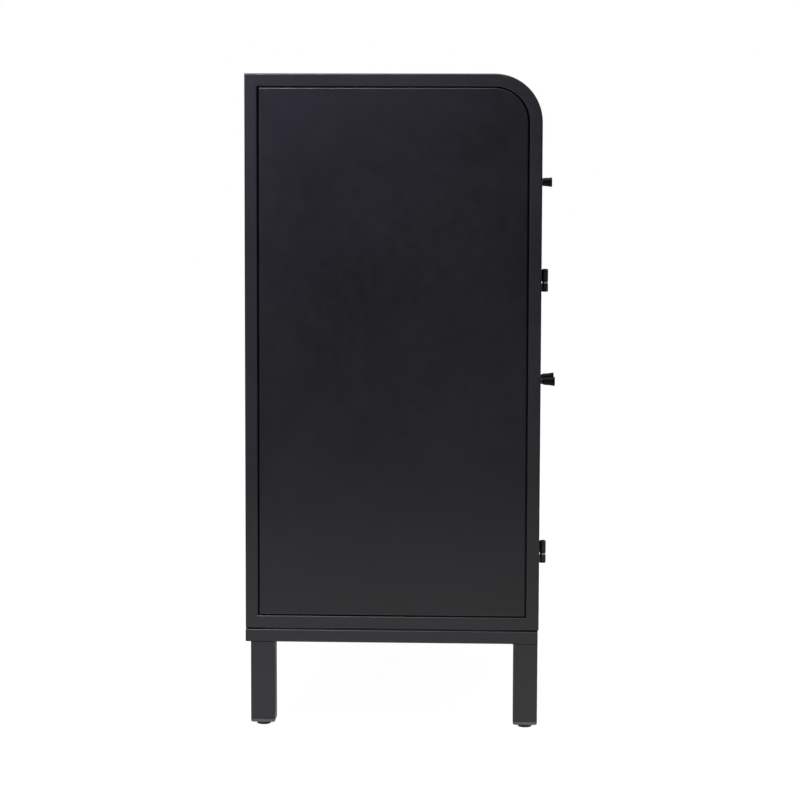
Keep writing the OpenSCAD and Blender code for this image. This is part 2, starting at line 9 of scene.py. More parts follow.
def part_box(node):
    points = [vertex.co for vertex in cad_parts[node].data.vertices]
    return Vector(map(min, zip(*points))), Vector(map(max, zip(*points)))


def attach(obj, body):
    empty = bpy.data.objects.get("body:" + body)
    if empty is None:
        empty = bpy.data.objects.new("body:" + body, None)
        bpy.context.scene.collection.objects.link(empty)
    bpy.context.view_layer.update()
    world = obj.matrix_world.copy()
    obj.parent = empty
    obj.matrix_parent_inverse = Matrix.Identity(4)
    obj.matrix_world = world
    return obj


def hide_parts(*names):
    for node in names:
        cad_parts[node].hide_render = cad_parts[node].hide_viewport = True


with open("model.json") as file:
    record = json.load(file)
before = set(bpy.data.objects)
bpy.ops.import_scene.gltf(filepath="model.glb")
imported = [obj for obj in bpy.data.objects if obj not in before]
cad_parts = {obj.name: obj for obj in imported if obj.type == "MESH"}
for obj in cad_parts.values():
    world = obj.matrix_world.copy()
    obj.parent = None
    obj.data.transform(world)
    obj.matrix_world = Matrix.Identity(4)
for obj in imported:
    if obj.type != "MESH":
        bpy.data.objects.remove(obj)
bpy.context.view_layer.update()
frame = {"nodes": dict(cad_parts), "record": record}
MM = 0.001
SIDES = (("left", -1), ("right", 1))
scene = bpy.context.scene


# ---- Camera ----

CAMERA_PLACE = (-4.1012, -0.1456, 0.8538)
CAMERA_LENS = 108.0
CAMERA_SENSOR = 36.0
# Degrees: turned from +X towards +Y, tipped up, and rolled about the line of sight
CAMERA_YAW = 2.3101
CAMERA_PITCH = -5.2391
CAMERA_ROLL = 0.178


def make_camera():
    data = bpy.data.cameras.new("camera")
    data.lens = CAMERA_LENS
    data.sensor_width = CAMERA_SENSOR
    data.clip_start = 0.05
    data.clip_end = 100
    cam = bpy.data.objects.new("camera", data)
    scene.collection.objects.link(cam)
    yaw, pitch = math.radians(CAMERA_YAW), math.radians(CAMERA_PITCH)
    level = math.cos(pitch)
    forward = Vector((level * math.cos(yaw), level * math.sin(yaw), math.sin(pitch)))
    roll = Quaternion((0, 0, 1), math.radians(CAMERA_ROLL))
    cam.location = CAMERA_PLACE
    cam.rotation_mode = "QUATERNION"
    cam.rotation_quaternion = forward.to_track_quat("-Z", "Y") @ roll
    scene.camera = cam


make_camera()


# ---- Node helpers ----

class Nodes:
    """Short calls for building a node tree."""

    def __init__(self, tree):
        self.tree = tree
        tree.nodes.clear()

    def add(self, kind, inputs=None, **settings):
        node = self.tree.nodes.new(kind)
        for key, value in settings.items():
            setattr(node, key, value)
        for key, value in (inputs or {}).items():
            if isinstance(value, bpy.types.NodeSocket):
                self.tree.links.new(value, node.inputs[key])
            else:
                node.inputs[key].default_value = value
        return node

    def place(self):
        return self.add("ShaderNodeTexCoord").outputs["Object"]

    def noise(self, where, scale, detail=3.0, rough=0.5, distortion=0.0):
        return self.add("ShaderNodeTexNoise", {
            "Vector": where, "Scale": scale, "Detail": detail, "Roughness": rough,
            "Distortion": distortion}).outputs["Fac"]

    def stretched(self, where, scales):
        mapping = self.add("ShaderNodeMapping", {"Vector": where, "Scale": scales})
        return mapping.outputs["Vector"]

    def math(self, operation, a, b=0.0):
        return self.add("ShaderNodeMath", {0: a, 1: b}, operation=operation).outputs[0]

    def span(self, value, low, high, out_low, out_high):
        return self.add("ShaderNodeMapRange", {
            "Value": value, "From Min": low, "From Max": high, "To Min": out_low,
            "To Max": out_high}, clamp=True).outputs["Result"]

    def bump(self, height):
        """Normal from a height in millimetres."""
        node = self.add("ShaderNodeBump", {"Height": height, "Strength": 1.0, "Distance": MM})
        return node.outputs["Normal"]

    def mix(self, fac, a, b):
        node = self.add("ShaderNodeMix", data_type="RGBA")
        for index, value in ((0, fac), (6, a), (7, b)):
            if isinstance(value, bpy.types.NodeSocket):
                self.tree.links.new(value, node.inputs[index])
            else:
                node.inputs[index].default_value = value
        return node.outputs[2]


def new_material(name):
    mat = bpy.data.materials.new(name)
    mat.use_nodes = True
    return mat, Nodes(mat.node_tree)


def rgba(r, g, b):
    return (r, g, b, 1.0)


# ---- Materials ----

CLOUD_SCALE = 4.5
MOTTLE_SCALE = 60.0
PEEL_SCALE = 170.0


def powder_coat(name, low, high, rough, grain_scale, grain_height, peel_height, specular=0.5):
    """Satin powder coat: fine grain, soft orange peel, faint cloudy change of tone and gloss.
    Heights are in millimetres. Gloss stays on the rough side of what the denoiser takes for a
    mirror."""
    mat, n = new_material(name)
    where = n.place()
    cloud = n.noise(where, CLOUD_SCALE, 4.0, 0.55, 0.4)
    fine = n.noise(where, MOTTLE_SCALE, 4.0, 0.6)
    colour = n.mix(n.span(cloud, 0.3, 0.7, 0.0, 1.0), rgba(*low), rgba(*high))
    gloss = n.math("ADD", n.span(cloud, 0.25, 0.75, rough - 0.03, rough + 0.03),
                   n.span(fine, 0.3, 0.7, -0.02, 0.02))
    grain = n.math("MULTIPLY", n.noise(where, grain_scale, 2.0, 0.6), grain_height)
    peel = n.math("MULTIPLY", n.noise(where, PEEL_SCALE, 2.0, 0.5), peel_height)
    bump = n.bump(n.math("ADD", grain, peel))
    shader = n.add("ShaderNodeBsdfPrincipled", {
        "Base Color": colour, "Roughness": gloss, "Normal": bump, "Metallic": 0.0,
        "Specular IOR Level": specular})
    n.add("ShaderNodeOutputMaterial", {"Surface": shader.outputs[0]})
    return mat


def plated(name, low, high, rough, streak, stripe_height):
    """Plated or turned steel: metal with fine drawn lines and cloudy tone. streak is the lines'
    scale along each axis."""
    mat, n = new_material(name)
    where = n.place()
    cloud = n.noise(where, 38.0, 5.0, 0.6, 0.6)
    lines = n.noise(n.stretched(where, streak), 1.0, 3.0, 0.6)
    colour = n.mix(n.span(cloud, 0.3, 0.7, 0.0, 1.0), rgba(*low), rgba(*high))
    gloss = n.math("ADD", n.span(cloud, 0.3, 0.7, rough - 0.05, rough + 0.06),
                   n.span(lines, 0.3, 0.7, -0.05, 0.05))
    bump = n.bump(n.math("MULTIPLY", lines, stripe_height))
    shader = n.add("ShaderNodeBsdfPrincipled", {
        "Base Color": colour, "Roughness": gloss, "Normal": bump, "Metallic": 1.0})
    n.add("ShaderNodeOutputMaterial", {"Surface": shader.outputs[0]})
    return mat


PIT_SCALE = 1500.0
PIT_DEPTH = 0.05


def moulded(name, low, high, rough):
    """Moulded nylon with a spark-eroded grain."""
    mat, n = new_material(name)
    where = n.place()
    cloud = n.noise(where, 24.0, 3.0)
    pits = n.add("ShaderNodeTexVoronoi", {"Vector": where, "Scale": PIT_SCALE})
    colour = n.mix(cloud, rgba(*low), rgba(*high))
    shader = n.add("ShaderNodeBsdfPrincipled", {
        "Base Color": colour, "Roughness": n.span(cloud, 0.3, 0.7, rough - 0.05, rough + 0.05),
        "Normal": n.bump(n.math("MULTIPLY", pits.outputs["Distance"], PIT_DEPTH))})
    n.add("ShaderNodeOutputMaterial", {"Surface": shader.outputs[0]})
    return mat


FINISHES = {
    "black_frame": powder_coat(
        "black_frame", (0.0079, 0.0077, 0.0084), (0.0102, 0.0100, 0.0107), rough=0.36,
        grain_scale=1300.0, grain_height=0.009, peel_height=0.018),
    "black_sheet": powder_coat(
        "black_sheet", (0.0033, 0.0032, 0.0037), (0.0045, 0.0044, 0.0049), rough=0.335,
        grain_scale=1500.0, grain_height=0.006, peel_height=0.014),
    "knob_black": powder_coat(
        "knob_black", (0.006, 0.006, 0.006), (0.008, 0.008, 0.008), rough=0.50,
        grain_scale=1800.0, grain_height=0.008, peel_height=0.0, specular=0.3),
    "bright_steel": plated(
        "bright_steel", (0.50, 0.50, 0.51), (0.62, 0.62, 0.63), rough=0.30,
        streak=(60.0, 60.0, 2600.0), stripe_height=0.02),
    "zinc_steel": plated(
        "zinc_steel", (0.40, 0.41, 0.43), (0.52, 0.53, 0.53), rough=0.38,
        streak=(900.0, 60.0, 900.0), stripe_height=0.012),
    "black_plastic": moulded(
        "black_plastic", (0.009, 0.009, 0.009), (0.012, 0.012, 0.012), rough=0.5),
    "grey_plastic": moulded(
        "grey_plastic", (0.075, 0.075, 0.078), (0.095, 0.095, 0.098), rough=0.42),
}


# ---- Stage ----

# What the object sees round it, from straight down (0) to straight up (1)
SKY = ((0.0, (0.05, 0.05, 0.05)), (0.5, (0.02, 0.02, 0.022)), (0.68, (0.06, 0.06, 0.07)),
       (1.0, (0.60, 0.61, 0.66)))


def make_world():
    """White backdrop for the camera; for everything else a dark studio with a pale ceiling."""
    world = bpy.data.worlds.new("studio")
    scene.world = world
    world.use_nodes = True
    n = Nodes(world.node_tree)
    where = n.add("ShaderNodeTexCoord").outputs["Generated"]
    height = n.add("ShaderNodeSeparateXYZ", {0: where}).outputs["Z"]
    ramp = n.add("ShaderNodeValToRGB", {"Fac": n.span(height, -1.0, 1.0, 0.0, 1.0)})
    stops = ramp.color_ramp.elements
    for position, colour in SKY[1:-1]:
        stops.new(position).color = rgba(*colour)
    stops[0].color, stops[-1].color = rgba(*SKY[0][1]), rgba(*SKY[-1][1])
    dim = n.add("ShaderNodeBackground", {"Color": ramp.outputs["Color"], "Strength": 1.0})
    white = n.add("ShaderNodeBackground", {"Color": rgba(1.0, 1.0, 1.0), "Strength": 1.0})
    seen = n.add("ShaderNodeLightPath").outputs["Is Camera Ray"]
    both = n.add("ShaderNodeMixShader", {0: seen, 1: dim.outputs[0], 2: white.outputs[0]})
    n.add("ShaderNodeOutputWorld", {"Surface": both.outputs[0]})


FLOOR_RADIUS = 14.0
FLOOR_DROP = 0.0002
FLOOR_SIDES = 64
# Distances from the object's middle at which the painted pool of light on the floor starts to fade
# and is dark, then how steeply it fades and how strongly the floor glows there as painted light
FLOOR_POOL_FULL = 0.4
FLOOR_POOL_END = 4.8
FLOOR_POOL_FALL = 1.6
FLOOR_POOL_GLOW = 0.22
# Strength of the camera's white floor, and how much of it still takes shadows
FLOOR_GLOW = 1.18
FLOOR_SHADED = 0.18


def make_floor():
    """Pale floor for the camera, clear from below. The object sees a painted pool of light on the
    floor: its colour fades to dark away from the middle, and it glows round the object though it
    is no lamp.
    """
    mesh = bpy.data.meshes.new("floor")
    angles = [math.tau * i / FLOOR_SIDES for i in range(FLOOR_SIDES)]
    rim = [(FLOOR_RADIUS * math.cos(a), FLOOR_RADIUS * math.sin(a), -FLOOR_DROP) for a in angles]
    mesh.from_pydata(rim, [], [tuple(range(FLOOR_SIDES))])
    floor = bpy.data.objects.new("floor", mesh)
    scene.collection.objects.link(floor)
    mat, n = new_material("pale_floor")
    where = n.place()
    away = n.add("ShaderNodeVectorMath", {0: where}, operation="LENGTH").outputs["Value"]
    # Painted pool of light: the floor's colour and its painted glow fade with distance from the
    # middle
    painted_pool = n.math("POWER", n.span(away, FLOOR_POOL_FULL, FLOOR_POOL_END, 1.0, 0.0), FLOOR_POOL_FALL)
    tone = n.mix(painted_pool, rgba(0.05, 0.05, 0.05), rgba(0.84, 0.80, 0.74))
    matt = n.add("ShaderNodeBsdfDiffuse", {"Color": tone})
    # Painted glow, standing in for light bounced off the floor round the object
    pool_glow = n.add("ShaderNodeEmission", {
        "Color": rgba(1.0, 0.96, 0.90), "Strength": n.math("MULTIPLY", painted_pool, FLOOR_POOL_GLOW)})
    pool_shader = n.add("ShaderNodeAddShader", {0: matt.outputs[0], 1: pool_glow.outputs[0]})
    white = n.add("ShaderNodeBsdfDiffuse", {"Color": rgba(0.84, 0.84, 0.83)})
    glow = n.add("ShaderNodeEmission", {"Color": rgba(1.0, 1.0, 1.0), "Strength": FLOOR_GLOW})
    lit = n.add("ShaderNodeMixShader", {0: FLOOR_SHADED, 1: glow.outputs[0], 2: white.outputs[0]})
    seen = n.add("ShaderNodeLightPath").outputs["Is Camera Ray"]
    pale = n.add("ShaderNodeMixShader", {0: seen, 1: pool_shader.outputs[0], 2: lit.outputs[0]})
    clear = n.add("ShaderNodeBsdfTransparent", {"Color": rgba(1.0, 1.0, 1.0)})
    under = n.add("ShaderNodeNewGeometry").outputs["Backfacing"]
    top = n.add("ShaderNodeMixShader", {0: under, 1: pale.outputs[0], 2: clear.outputs[0]})
    n.add("ShaderNodeOutputMaterial", {"Surface": top.outputs[0]})
    mesh.materials.append(mat)


# Name, place, what it points at, width and height, radiance, colour
SOFTBOXES = (
    ("overhead", (0.3, 0.2, 3.2), (0.1, 0.0, 0.5), (2.4, 2.4), 2.0, (0.97, 0.98, 1.0)),
    ("key", (-1.9, 1.5, 2.7), (-0.4, 0.1, 0.8), (2.0, 2.0), 0.25, (0.84, 0.85, 1.0)),
    ("back_wall", (-5.9, 2.1, 2.3), (-0.4, 0.0, 0.9), (1.6, 1.6), 8.8, (0.68, 0.65, 1.0)),
    ("floor_wash", (-1.35, -0.1, 2.3), (-1.35, -0.1, 0.0), (1.4, 1.8), 0.7, (1.0, 0.98, 0.95)),
    ("edge_strip", (-2.05, 0.6, 2.5), (-0.4, 0.1, 0.8), (0.7, 0.3), 70.0, (0.90, 0.89, 1.0)),
    ("front_fill", (1.4, -4.0, 2.2), (0.0, 0.0, 0.6), (2.4, 2.0), 4.2, (1.0, 0.99, 0.97)),
    ("rear_fill", (2.6, 3.6, 2.2), (0.0, 0.0, 0.6), (2.4, 2.0), 3.0, (1.0, 0.99, 0.97)),
)


def softbox(name, place, target, size, radiance, colour):
    """Area light of the given radiance, so that its size and its brightness are set apart."""
    data = bpy.data.lights.new(name, "AREA")
    data.shape = "RECTANGLE"
    data.size, data.size_y = size
    data.energy = radiance * math.pi * size[0] * size[1]
    data.color = colour
    light = bpy.data.objects.new(name, data)
    light.location = place
    aim = Vector(target) - Vector(place)
    light.rotation_mode = "QUATERNION"
    light.rotation_quaternion = aim.to_track_quat("-Z", "Y")
    light.visible_camera = False
    scene.collection.objects.link(light)


make_world()
make_floor()
for row in SOFTBOXES:
    softbox(*row)

scene.view_settings.view_transform = "Standard"
scene.view_settings.look = "None"
scene.view_settings.exposure = 0.0
scene.view_settings.gamma = 1.0


# ---- Mesh helpers ----

def link(name, mesh):
    piece = bpy.data.objects.new(name, mesh)
    scene.collection.objects.link(piece)
    return piece


def bake(piece):
    """Puts the piece's modifiers into its mesh."""
    graph = bpy.context.evaluated_depsgraph_get()
    mesh = bpy.data.meshes.new_from_object(piece.evaluated_get(graph))
    piece.modifiers.clear()
    piece.data = mesh


def dress(piece, body, slot, replaces=(), angle=32.0):
    """Shading, material, slot and body for a finished piece. angle is the sharp edge limit in
    degrees."""
    mesh = piece.data
    mesh.shade_smooth()
    mesh.set_sharp_from_angle(angle=math.radians(angle))
    normals = piece.modifiers.new("normals", "WEIGHTED_NORMAL")
    normals.keep_sharp = True
    normals.weight = 80
    mesh.materials.clear()
    mesh.materials.append(FINISHES[slot])
    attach(piece, body)
    if replaces:
        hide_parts(*replaces)
    return piece


def from_bmesh(name, bm):
    mesh = bpy.data.meshes.new(name)
    bm.to_mesh(mesh)
    bm.free()
    return link(name, mesh)


SMALLEST_RADIUS = 0.02 * MM


def outline(lo, hi, radii, inset, steps):
    """Points of a rectangle with rounded corners, drawn in from its edge by inset. radii start at
    the low corner and go round anticlockwise."""
    points = []
    ends = ((lo[0], lo[1], 1, 1), (hi[0], lo[1], -1, 1), (hi[0], hi[1], -1, -1),
            (lo[0], hi[1], 1, -1))
    for k, ((u, v, du, dv), radius, count) in enumerate(zip(ends, radii, steps)):
        r = max(radius - inset, SMALLEST_RADIUS)
        cu, cv = u + du * (inset + r), v + dv * (inset + r)
        for i in range(count + 1):
            a = math.radians(180 + 90 * k + 90 * i / count)
            points.append((cu + r * math.cos(a), cv + r * math.sin(a)))
    return points


def fold_profile(radius, depth, steps=5):
    """Inset and depth pairs for a face that turns through 90 degrees into a flange."""
    turn = [(radius * (1 - math.sin(a)), radius * (1 - math.cos(a)))
            for a in (math.radians(90 * i / steps) for i in range(steps + 1))]
    return turn + [(0.0, depth)]


def loft(bm, place, lo, hi, radii, profile, steps):
    """Rings of a rounded rectangle, one for each inset and depth pair, joined in turn."""
    rings = [[bm.verts.new(place(u, v, depth))
              for u, v in outline(lo, hi, radii, inset, steps)] for inset, depth in profile]
    for a, b in zip(rings, rings[1:]):
        for i in range(len(a)):
            j = (i + 1) % len(a)
            bm.faces.new((a[i], b[i], b[j], a[j]))
    return rings


def folded(name, place, lo, hi, radii, profile, thickness, steps=(3, 3, 3, 3)):
    """Sheet-metal pan. place takes (u, v, depth) to a point; depth runs away from the open face's
    outside. The first ring is closed by the face, and the last is left open."""
    bm = bmesh.new()
    face = bm.faces.new(loft(bm, place, lo, hi, radii, profile, steps)[0])
    bmesh.ops.recalc_face_normals(bm, faces=bm.faces)
    bm.normal_update()
    outward = Vector(place(0, 0, -1)) - Vector(place(0, 0, 0))
    if face.normal.dot(outward) < 0:
        bmesh.ops.reverse_faces(bm, faces=bm.faces)
    piece = from_bmesh(name, bm)
    sheet = piece.modifiers.new("sheet", "SOLIDIFY")
    sheet.thickness = thickness
    sheet.offset = -1
    sheet.use_even_offset = True
    bake(piece)
    return piece


ON_AXIS = 1e-7


def lathe(bm, profile, matrix, count=48, radius_at=None):
    """Turns (radius, height) pairs round the Z axis, then places them with matrix. radius_at
    scales the radius by angle and height."""
    rings = []
    for r, z in profile:
        if r <= ON_AXIS:
            rings.append([bm.verts.new(matrix @ Vector((0, 0, z)))])
            continue
        ring = []
        for i in range(count):
            a = math.tau * i / count
            rr = r * (radius_at(a, z) if radius_at else 1.0)
            ring.append(bm.verts.new(matrix @ Vector((rr * math.cos(a), rr * math.sin(a), z))))
        rings.append(ring)
    for a, b in zip(rings, rings[1:]):
        for i in range(count):
            j = (i + 1) % count
            if len(a) == 1:
                bm.faces.new((a[0], b[j], b[i]))
            elif len(b) == 1:
                bm.faces.new((a[i], a[j], b[0]))
            else:
                bm.faces.new((a[i], a[j], b[j], b[i]))


def rounded(profile, radius, steps=4):
    """Rounds the inside corners of a chain of (radius, height) pairs."""
    out = [profile[0]]
    for before, here, after in zip(profile, profile[1:], profile[2:]):
        p, q, r = (Vector(v) for v in (before, here, after))
        cut = min(radius, (p - q).length * 0.45, (r - q).length * 0.45)
        start = q + (p - q).normalized() * cut
        end = q + (r - q).normalized() * cut
        for i in range(steps + 1):
            t = i / steps
            out.append(tuple(start.lerp(q, t).lerp(q.lerp(end, t), t)))
    return out + [profile[-1]]


def pointing(place, direction):
    """Matrix that takes the origin to place and +Z to direction."""
    turn = Vector(direction).to_track_quat("Z", "Y").to_matrix().to_4x4()
    return Matrix.Translation(Vector(place)) @ turn


WELD_PITCH = 1.5 * MM
WELD_RIPPLE = 0.12
WELD_SIDES = 8


def weld_bead(bm, start, end, radius):
    """Rippled bead from start to end, its ends rounded off."""
    start, end = Vector(start), Vector(end)
    length = (end - start).length
    count = max(6, int(length / (WELD_PITCH / 4)))
    turn = (end - start).to_track_quat("Z", "Y").to_matrix()
    rings = []
    for i in range(count + 1):
        t = i / count
        s = t * length
        close = min(1.0, (min(s, length - s) + 0.15 * radius) / radius)
        r = radius * math.sqrt(close) * (1 + WELD_RIPPLE * math.sin(math.tau * s / WELD_PITCH))
        centre = start.lerp(end, t)
        rings.append([bm.verts.new(centre + turn @ Vector((r * math.cos(a), r * math.sin(a), 0)))
                      for a in (math.tau * k / WELD_SIDES for k in range(WELD_SIDES))])
    for a, b in zip(rings, rings[1:]):
        for k in range(WELD_SIDES):
            j = (k + 1) % WELD_SIDES
            bm.faces.new((a[k], a[j], b[j], b[k]))
    bm.faces.new(list(reversed(rings[0])))
    bm.faces.new(rings[-1])


def add_mesh(bm, mesh, matrix):
    """Adds a placed copy of mesh to bm."""
    have = len(bm.verts)
    bm.from_mesh(mesh)
    bm.verts.ensure_lookup_table()
    for vert in bm.verts[have:]:
        vert.co = matrix @ vert.co


# ---- Folded panels ----

FOLD = 2.0 * MM
LINER_FOLD = 1.2 * MM
TRAY_CORNER = 2.2 * MM
SHEET = 0.9 * MM
LINER = 0.8 * MM
TRAY_SHEET = 0.86 * MM
SIDE_BEND = 52.4 * MM
TOP_BEND = 74 * MM
TOP_FLANGE = 14 * MM
DRAWER_LIP = 19 * MM
HEM_HALF = 0.9 * MM
HEM_DROP = 6 * MM


def side_panel(name, side):
    """Pan with a round front top corner, its face on the outside."""
    lo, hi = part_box(name)
    x_face = lo.x if side < 0 else hi.x
    piece = folded(name + "_sheet", lambda u, v, d: (x_face - side * d, u, v),
                   (lo.y, lo.z), (hi.y, hi.z), (FOLD, FOLD, FOLD, SIDE_BEND),
                   fold_profile(FOLD, hi.x - lo.x), SHEET, (4, 4, 4, 24))
    dress(piece, "carcass", "black_sheet", [name])


def flat_panel(name, body, axis, facing, radius=FOLD, thickness=SHEET):
    """Pan whose face looks along facing * axis and whose flanges run away from it."""
    lo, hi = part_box(name)
    k = "xyz".index(axis)
    u, v = [i for i in range(3) if i != k]
    face = hi[k] if facing > 0 else lo[k]

    def place(a, b, d):
        p = [0.0, 0.0, 0.0]
        p[u], p[v], p[k] = a, b, face - facing * d
        return tuple(p)

    piece = folded(name + "_sheet", place, (lo[u], lo[v]), (hi[u], hi[v]), (FOLD,) * 4,
                   fold_profile(radius, hi[k] - lo[k]), thickness)
    dress(piece, body, "black_sheet", [name])
    return piece


def drawer_front(name, body):
    """Front whose flanges turn in again behind it."""
    lo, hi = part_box(name)
    depth = hi.y - lo.y
    face = fold_profile(FOLD, depth - FOLD)
    back = [(inset, depth - rest) for inset, rest in reversed(fold_profile(FOLD, 0.0)[:-1])]
    piece = folded(name + "_sheet", lambda a, b, d: (a, lo.y + d, b), (lo.x, lo.z), (hi.x, hi.z),
                   (FOLD,) * 4, face + back[1:] + [(DRAWER_LIP, depth)], SHEET)
    dress(piece, body, "black_sheet", [name])


def drawer_tray(name, body):
    """Tray with its rim hemmed inwards."""
    lo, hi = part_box(name)
    depth, half = hi.z - lo.z, HEM_HALF
    hem = [(half * (1 - math.cos(a)), depth - half + half * math.sin(a))
           for a in (math.radians(180 * i / 8) for i in range(9))]
    profile = fold_profile(FOLD, depth - half)[:-1] + hem + [(2 * half, depth - HEM_DROP)]
    piece = folded(name + "_sheet", lambda a, b, d: (a, b, lo.z + d), (lo.x, lo.y), (hi.x, hi.y),
                   (TRAY_CORNER,) * 4, profile, TRAY_SHEET)
    dress(piece, body, "black_sheet", [name])


def top_panel(name):
    """Sheet that runs along the top and down round the front bend, flanged at both sides."""
    lo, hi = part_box(name)
    centre = (lo.y + TOP_BEND, hi.z - TOP_BEND)
    # Places along the sheet in Y and Z, each with the way its outside faces
    path = [((hi.y, hi.z), (0, 1))]
    for i in range(33):
        a = math.radians(90 * i / 32)
        out = (-math.sin(a), math.cos(a))
        path.append(((centre[0] + TOP_BEND * out[0], centre[1] + TOP_BEND * out[1]), out))
    path += [((lo.y, lo.z), (-1, 0))]
    turn = fold_profile(FOLD, TOP_FLANGE)
    half = (hi.x - lo.x) / 2
    section = [(-half + inset, depth) for inset, depth in reversed(turn)]
    section += [(half - inset, depth) for inset, depth in turn]
    bm = bmesh.new()
    rows = [[bm.verts.new((x, at[0] - depth * out[0], at[1] - depth * out[1]))
             for x, depth in section] for at, out in path]
    for a, b in zip(rows, rows[1:]):
        for i in range(len(section) - 1):
            bm.faces.new((a[i], b[i], b[i + 1], a[i + 1]))
    bm.normal_update()
    top = max(bm.faces, key=lambda f: f.calc_area())
    if top.normal.z < 0:
        bmesh.ops.reverse_faces(bm, faces=bm.faces)
    piece = from_bmesh(name + "_sheet", bm)
    sheet = piece.modifiers.new("sheet", "SOLIDIFY")
    sheet.thickness, sheet.offset, sheet.use_even_offset = SHEET, -1, True
    bake(piece)
    dress(piece, "carcass", "black_frame", [name])


for label, side in SIDES:
    side_panel(label + "_side_panel", side)
    flat_panel(label + "_door_skin", label + "_door", "y", -1)
    flat_panel(label + "_door_liner", label + "_door", "y", 1, LINER_FOLD, LINER)
    drawer_front(label + "_drawer_front", label + "_drawer")
    drawer_tray(label + "_drawer_tray", label + "_drawer")
top_panel("top_panel")
flat_panel("back_panel", "carcass", "y", 1)
for shelf_like in ("floor_panel", "mid_deck", "shelf"):
    flat_panel(shelf_like, "carcass", "z", 1)


# ---- Knobs ----

KNOB_NECK = 6.0 * MM
KNOB_FLARE_STEPS = 10
SCREW_HOLE = 2.1 * MM
SCREW_DEPTH = 8 * MM
SPACER_COLLAR = 1.2 * MM
SPACER_WAIST = 0.5 * MM


def knob_mesh(node):
    """Flared knob with soft rims and a shallow dish in its face, standing out towards -Y."""
    lo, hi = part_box(node)
    x, z = (lo.x + hi.x) / 2, (lo.z + hi.z) / 2
    length, face = hi.y - lo.y, (hi.x - lo.x) / 2
    chain = [(0, length - 0.45 * MM), (face - 3.2 * MM, length - 0.4 * MM),
             (face - 1.3 * MM, length), (face - 0.55 * MM, length - 0.05 * MM),
             (face, length - 0.9 * MM)]
    for i in range(1, KNOB_FLARE_STEPS + 1):
        t = 1 - i / KNOB_FLARE_STEPS
        flare = 0.35 * t + 0.65 * t ** 2.2
        chain.append((KNOB_NECK + (face - KNOB_NECK) * flare, 0.6 * MM + (length - 1.6 * MM) * t))
    chain += [(KNOB_NECK - 0.5 * MM, 0.0), (SCREW_HOLE, 0.0), (SCREW_HOLE, SCREW_DEPTH),
              (0, SCREW_DEPTH)]
    bm = bmesh.new()
    lathe(bm, rounded(chain, 0.4 * MM, 3), pointing((x, hi.y, z), (0, -1, 0)), 64)
    bmesh.ops.recalc_face_normals(bm, faces=bm.faces)
    return from_bmesh(node + "_turned", bm)


def spacer_mesh(node):
    """Spacer with a collar at each end."""
    lo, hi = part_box(node)
    x, z = (lo.x + hi.x) / 2, (lo.z + hi.z) / 2
    r, length = (hi.x - lo.x) / 2, hi.y - lo.y
    waist, shoulder = r - SPACER_WAIST, SPACER_COLLAR + 0.4 * MM
    chain = [(SCREW_HOLE, 0.0), (r, 0.0), (r, SPACER_COLLAR), (waist, shoulder),
             (waist, length - shoulder), (r, length - SPACER_COLLAR), (r, length),
             (SCREW_HOLE, length), (SCREW_HOLE, 0.0)]
    bm = bmesh.new()
    lathe(bm, rounded(chain, 0.25 * MM, 3), pointing((x, hi.y, z), (0, -1, 0)), 48)
    bmesh.ops.recalc_face_normals(bm, faces=bm.faces)
    return from_bmesh(node + "_turned", bm)


# ---- Screws, feet and end caps ----

HEAD_RADIUS = 4.0 * MM
HEAD_HEIGHT = 2.2 * MM
THREAD_PITCH = 0.7 * MM
THREAD_CREST = 2.0 * MM
THREAD_ROOT = 1.65 * MM
SCREW_TURN_FIRST = 17
SCREW_TURN_STEP = 41


def cross_head():
    """Pan head with a cross recess: its underside at height 0 and its axis along +Z."""
    r, h = HEAD_RADIUS, HEAD_HEIGHT
    bm = bmesh.new()
    dome = [(0, h)] + [(r * math.sin(a) * 0.98, h * (0.42 + 0.58 * math.cos(a)))
                       for a in (math.radians(12 * i) for i in range(1, 8))]
    dome += [(r, 0.3 * h), (r, 0.0), (0, 0.0)]
    lathe(bm, rounded(dome, 0.15 * MM, 2), Matrix.Identity(4), 36)
    bmesh.ops.recalc_face_normals(bm, faces=bm.faces)
    head = from_bmesh("cross_head", bm)
    bm = bmesh.new()
    for turn in (0, 90):
        spin = Matrix.Rotation(math.radians(turn), 4, "Z")
        top, foot, half = 2.0 * MM, 0.7 * MM, 0.42 * MM
        z0, z1 = 0.45 * MM, 3.0 * MM
        low = [(-foot, -half, z0), (foot, -half, z0), (foot, half, z0), (-foot, half, z0)]
        high = [(-top, -half, z1), (top, -half, z1), (top, half, z1), (-top, half, z1)]
        verts = [bm.verts.new(spin @ Vector(p)) for p in low + high]
        for face in ((3, 2, 1, 0), (4, 5, 6, 7), (0, 1, 5, 4), (1, 2, 6, 5), (2, 3, 7, 6),
                     (3, 0, 4, 7)):
            bm.faces.new([verts[i] for i in face])
    cutter = from_bmesh("cross_cutter", bm)
    cut = head.modifiers.new("recess", "BOOLEAN")
    cut.operation, cut.solver, cut.use_self = "DIFFERENCE", "EXACT", True
    cut.object = cutter
    bake(head)
    mesh = head.data
    for spare in (head, cutter):
        bpy.data.objects.remove(spare)
    return mesh


HEAD = cross_head()


def screw(bm, place, out, length, turn):
    """Screw whose head sits at place and points along out, with a threaded shank behind it."""
    matrix = pointing(place, out) @ Matrix.Rotation(math.radians(turn), 4, "Z")
    add_mesh(bm, HEAD, matrix)
    thread = []
    for i in range(int(length / THREAD_PITCH)):
        z = -length + i * THREAD_PITCH
        thread += [(THREAD_ROOT, z), (THREAD_CREST, z + 0.35 * THREAD_PITCH)]
    chain = [(0, -length), (1.2 * MM, -length)] + thread[1:] + [(1.8 * MM, 0.0), (0, 0.0)]
    lathe(bm, chain, matrix, 20)


